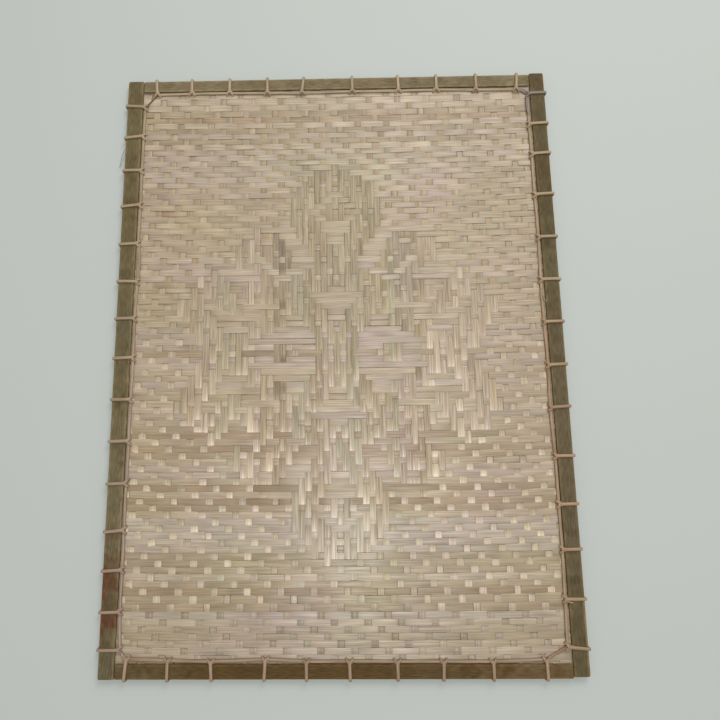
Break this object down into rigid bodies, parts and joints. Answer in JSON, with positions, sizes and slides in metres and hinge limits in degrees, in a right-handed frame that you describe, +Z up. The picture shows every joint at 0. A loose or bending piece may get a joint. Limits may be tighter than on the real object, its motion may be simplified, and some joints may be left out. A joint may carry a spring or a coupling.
{
  "type": "bamboo placemat",
  "caption": "Flat rectangular placemat of woven bamboo splints, edged with flat bamboo slats that are lashed on with cane.",
  "frame": {"origin": "on the table, under the middle of the mat", "axes": "+Z up from the table, +Y along the mat towards the slat named top, +X across it towards the slat named right"},
  "size_m": [0.313, 0.423, 0.0065],
  "materials": {
    "woven_splint": "bare straw-coloured bamboo splints with a soft lengthwise sheen",
    "slat_bamboo": "dull olive-brown split bamboo with fine lengthwise fibre",
    "cane": "tan split cane, slightly polished by handling"
  },
  "bodies": {
    "root": {"woven_panel": "woven_splint", "slat_top": "slat_bamboo", "slat_right": "slat_bamboo", "slat_bottom": "slat_bamboo", "slat_left": "slat_bamboo", "lashing_top": "cane", "lashing_right": "cane", "lashing_bottom": "cane", "lashing_left": "cane"}
  },
  "joints": []
}
